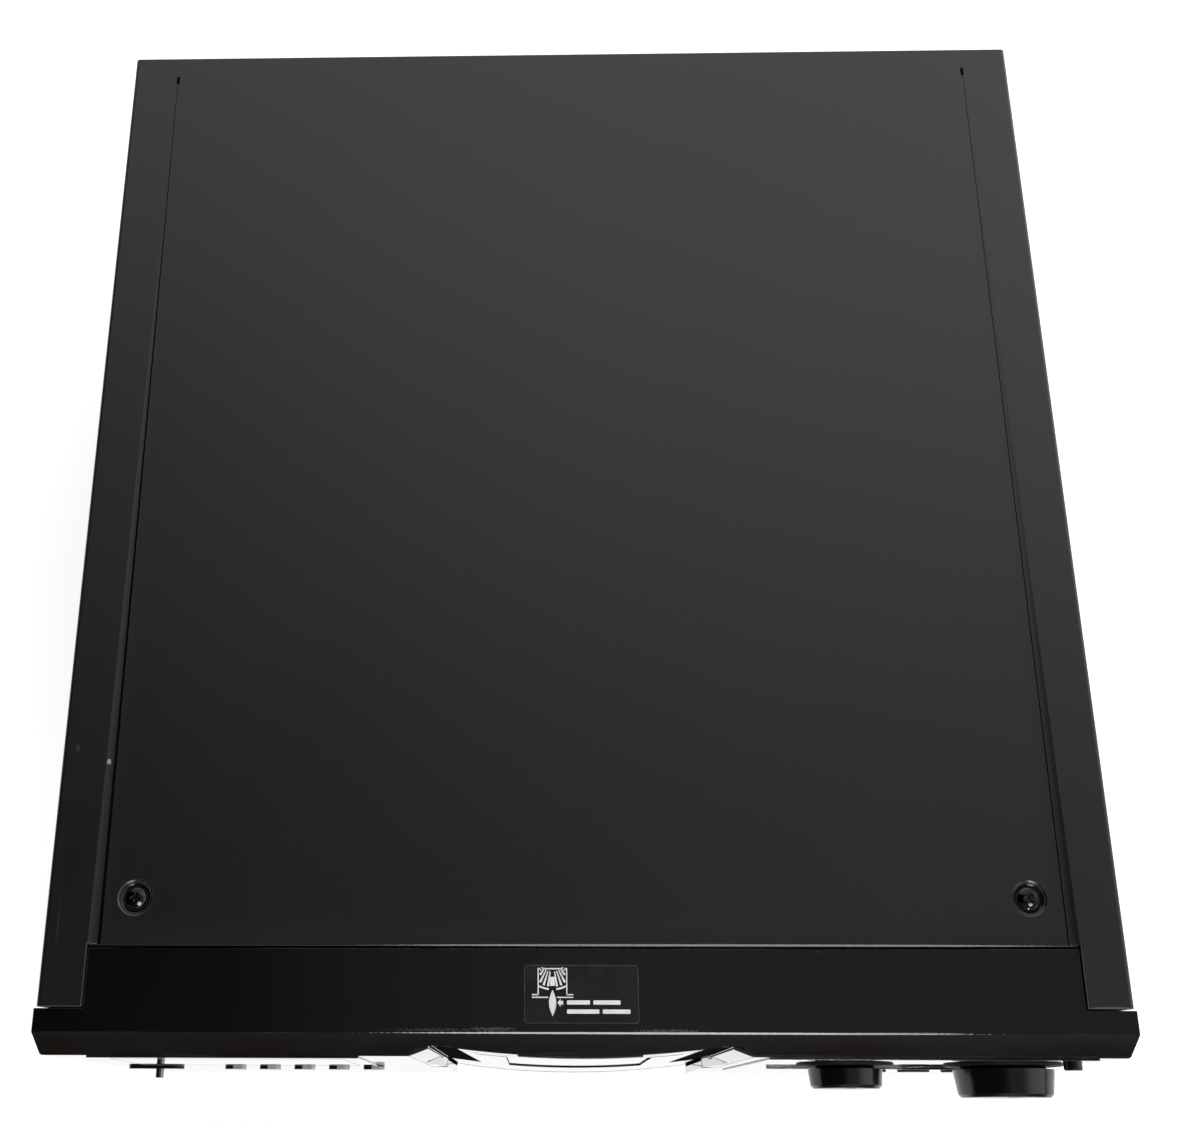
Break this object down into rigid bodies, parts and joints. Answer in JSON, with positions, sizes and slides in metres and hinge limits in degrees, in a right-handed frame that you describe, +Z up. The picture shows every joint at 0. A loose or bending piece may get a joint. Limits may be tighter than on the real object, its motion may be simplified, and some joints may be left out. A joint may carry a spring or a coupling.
{
  "type": "disc changer",
  "caption": "Wide black hi-fi disc changer with a front door, control dials and keys, a vertical-disc carousel and a player tower inside.",
  "frame": {"origin": "on the floor under the middle of the whole part", "axes": "+X right as seen from the front, +Y to the rear, +Z up"},
  "size_m": [0.432, 0.49, 0.189],
  "materials": {
    "cover_paint": "satin black paint with a fine texture",
    "rear_paint": "satin black paint",
    "zinc_steel": "zinc plated sheet",
    "gloss_black": "polished black moulding",
    "smoke_lens": "smoked clear plastic",
    "key_black": "satin black plastic",
    "black_screw": "black oxide",
    "foot_plastic": "black moulding",
    "pad_rubber": "soft pad",
    "board_green": "circuit board",
    "display_glass": "display cell",
    "gear_ivory": "natural acetal",
    "mech_black": "filled black moulding",
    "belt_rubber": "drive belt",
    "turned_brass": "turned brass",
    "core_iron": "laminated core and winding",
    "jack_plastic": "jack housings"
  },
  "bodies": {
    "case": {"top_cover": "cover_paint", "chassis": "zinc_steel", "rear_panel": "rear_paint", "front_panel": "gloss_black", "feet": "foot_plastic", "foot_pads": "pad_rubber", "front_stay": "zinc_steel", "cover_screws": "black_screw", "door_wings": "gloss_black", "left_lens": "smoke_lens", "right_lens": "smoke_lens", "display_module": "display_glass", "dial_encoders": "zinc_steel", "dial_rings": "key_black", "left_board": "board_green", "right_board": "board_green", "door_motor": "zinc_steel", "carousel_track": "gear_ivory", "table_motor": "zinc_steel", "table_belt": "belt_rubber", "mech_frame": "mech_black", "base_unit": "mech_black", "guide_rods": "zinc_steel", "spindle_motor": "zinc_steel", "main_board": "board_green", "transformer": "core_iron", "rear_jacks": "jack_plastic", "mains_inlet": "jack_plastic"},
    "door": {"front_door": "gloss_black", "door_window": "smoke_lens", "hinge_rod": "zinc_steel", "door_sector": "gear_ivory"},
    "door_pinion": {"door_pinion": "gear_ivory"},
    "open_key": {"open_button": "key_black"},
    "power_key": {"power_button": "key_black"},
    "play_key": {"play_button": "key_black"},
    "pause_key": {"pause_button": "key_black"},
    "stop_key": {"stop_button": "key_black"},
    "round_key": {"round_button": "key_black"},
    "small_dial": {"small_dial": "key_black"},
    "dial_shaft": {"dial_shaft": "turned_brass"},
    "large_dial": {"large_dial": "key_black"},
    "carousel": {"carousel_tray": "mech_black", "inner_comb": "mech_black", "outer_comb": "mech_black", "carousel_gear": "gear_ivory"},
    "drive_gear": {"drive_gear": "gear_ivory"},
    "motor_pulley": {"motor_pulley": "turned_brass"},
    "spindle_hub": {"spindle_hub": "gear_ivory"},
    "pickup": {"pickup": "mech_black"},
    "sled_screw": {"sled_screw": "turned_brass"},
    "clamp_arm": {"clamp_arm": "zinc_steel"},
    "clamp_puck": {"clamp_puck": "mech_black"},
    "load_slider": {"load_slider": "gear_ivory"},
    "load_pinion": {"load_pinion": "turned_brass"},
    "mode_key_1": {"mode_button_1": "key_black"},
    "mode_key_2": {"mode_button_2": "key_black"},
    "mode_key_3": {"mode_button_3": "key_black"},
    "mode_key_4": {"mode_button_4": "key_black"},
    "mode_key_5": {"mode_button_5": "key_black"}
  },
  "joints": [
    {"name": "door_hinge", "type": "hinge", "parent": "case", "child": "door", "pos_m": [0, -0.22735, 0.03048], "axis": [1, 0, 0], "range_deg": [0, 75]},
    {"name": "door_pinion_spin", "type": "hinge", "parent": "case", "child": "door_pinion", "pos_m": [-0.07, -0.21279, 0.03465], "axis": [1, 0, 0], "range_deg": [-160, 10]},
    {"name": "open_press", "type": "slide", "parent": "case", "child": "open_key", "axis": [0, 0.9995, -0.0314], "range_m": [0, 0.001], "stiffness_N_per_m": 400},
    {"name": "power_press", "type": "slide", "parent": "case", "child": "power_key", "axis": [0, 0.9995, -0.0314], "range_m": [0, 0.0008], "stiffness_N_per_m": 400},
    {"name": "mode_press_1", "type": "slide", "parent": "case", "child": "mode_key_1", "axis": [0, 0.9995, -0.0314], "range_m": [0, 0.0008], "stiffness_N_per_m": 300},
    {"name": "mode_press_2", "type": "slide", "parent": "case", "child": "mode_key_2", "axis": [0, 0.9995, -0.0314], "range_m": [0, 0.0008], "stiffness_N_per_m": 300},
    {"name": "mode_press_3", "type": "slide", "parent": "case", "child": "mode_key_3", "axis": [0, 0.9995, -0.0314], "range_m": [0, 0.0008], "stiffness_N_per_m": 300},
    {"name": "mode_press_4", "type": "slide", "parent": "case", "child": "mode_key_4", "axis": [0, 0.9995, -0.0314], "range_m": [0, 0.0008], "stiffness_N_per_m": 300},
    {"name": "mode_press_5", "type": "slide", "parent": "case", "child": "mode_key_5", "axis": [0, 0.9995, -0.0314], "range_m": [0, 0.0008], "stiffness_N_per_m": 300},
    {"name": "play_press", "type": "slide", "parent": "case", "child": "play_key", "axis": [0, 0.9995, -0.0314], "range_m": [0, 0.0008], "stiffness_N_per_m": 300},
    {"name": "pause_press", "type": "slide", "parent": "case", "child": "pause_key", "axis": [0, 0.9995, -0.0314], "range_m": [0, 0.0008], "stiffness_N_per_m": 300},
    {"name": "stop_press", "type": "slide", "parent": "case", "child": "stop_key", "axis": [0, 0.9995, -0.0314], "range_m": [0, 0.0008], "stiffness_N_per_m": 300},
    {"name": "round_press", "type": "slide", "parent": "case", "child": "round_key", "axis": [0, 0.9995, -0.0314], "range_m": [0, 0.0008], "stiffness_N_per_m": 300},
    {"name": "small_dial_turn", "type": "hinge", "parent": "case", "child": "small_dial", "pos_m": [0.1114, -0.23688, 0.13481], "axis": [0, -0.9995, 0.0314], "continuous": true},
    {"name": "large_dial_push", "type": "slide", "parent": "case", "child": "dial_shaft", "axis": [0, 0.9995, -0.0314], "range_m": [0, 0.001], "stiffness_N_per_m": 600},
    {"name": "large_dial_turn", "type": "hinge", "parent": "dial_shaft", "child": "large_dial", "pos_m": [0.177, -0.23688, 0.13481], "axis": [0, -0.9995, 0.0314], "continuous": true},
    {"name": "carousel_spin", "type": "hinge", "parent": "case", "child": "carousel", "pos_m": [0, -0.0195, 0.0312], "axis": [0, 0, 1], "continuous": true},
    {"name": "drive_gear_spin", "type": "hinge", "parent": "case", "child": "drive_gear", "pos_m": [0.15288, 0.13338, 0.0262], "axis": [0, 0, 1], "continuous": true},
    {"name": "motor_pulley_spin", "type": "hinge", "parent": "case", "child": "motor_pulley", "pos_m": [0.18488, 0.18838, 0.0262], "axis": [0, 0, 1], "continuous": true},
    {"name": "spindle_spin", "type": "hinge", "parent": "case", "child": "spindle_hub", "pos_m": [0, -0.0195, 0.098], "axis": [1, 0, 0], "continuous": true},
    {"name": "pickup_slide", "type": "slide", "parent": "case", "child": "pickup", "axis": [0, 1, 0], "range_m": [0, 0.035]},
    {"name": "sled_screw_spin", "type": "hinge", "parent": "case", "child": "sled_screw", "pos_m": [-0.017, 0.0205, 0.12], "axis": [0, 1, 0], "range_deg": [-20, 1080]},
    {"name": "clamp_swing", "type": "hinge", "parent": "case", "child": "clamp_arm", "pos_m": [0.0125, -0.0195, 0.158], "axis": [0, 1, 0], "range_deg": [0, 3.8]},
    {"name": "clamp_puck_spin", "type": "hinge", "parent": "clamp_arm", "child": "clamp_puck", "pos_m": [0.0065, -0.0195, 0.098], "axis": [1, 0, 0], "continuous": true},
    {"name": "load_slide", "type": "slide", "parent": "case", "child": "load_slider", "axis": [0, -1, 0], "range_m": [0, 0.13]},
    {"name": "load_pinion_spin", "type": "hinge", "parent": "case", "child": "load_pinion", "pos_m": [0.01312, 0.0235, 0.171], "axis": [0, 0, 1], "range_deg": [-20, 950]}
  ],
  "couplings": [
    {"joint": "door_pinion_spin", "follows": "door_hinge", "ratio": -2},
    {"joint": "drive_gear_spin", "follows": "carousel_spin", "ratio": -8},
    {"joint": "motor_pulley_spin", "follows": "carousel_spin", "ratio": -25.6},
    {"joint": "sled_screw_spin", "follows": "pickup_slide", "rad_per_m": 523.6},
    {"joint": "load_pinion_spin", "follows": "load_slide", "rad_per_m": 125}
  ]
}
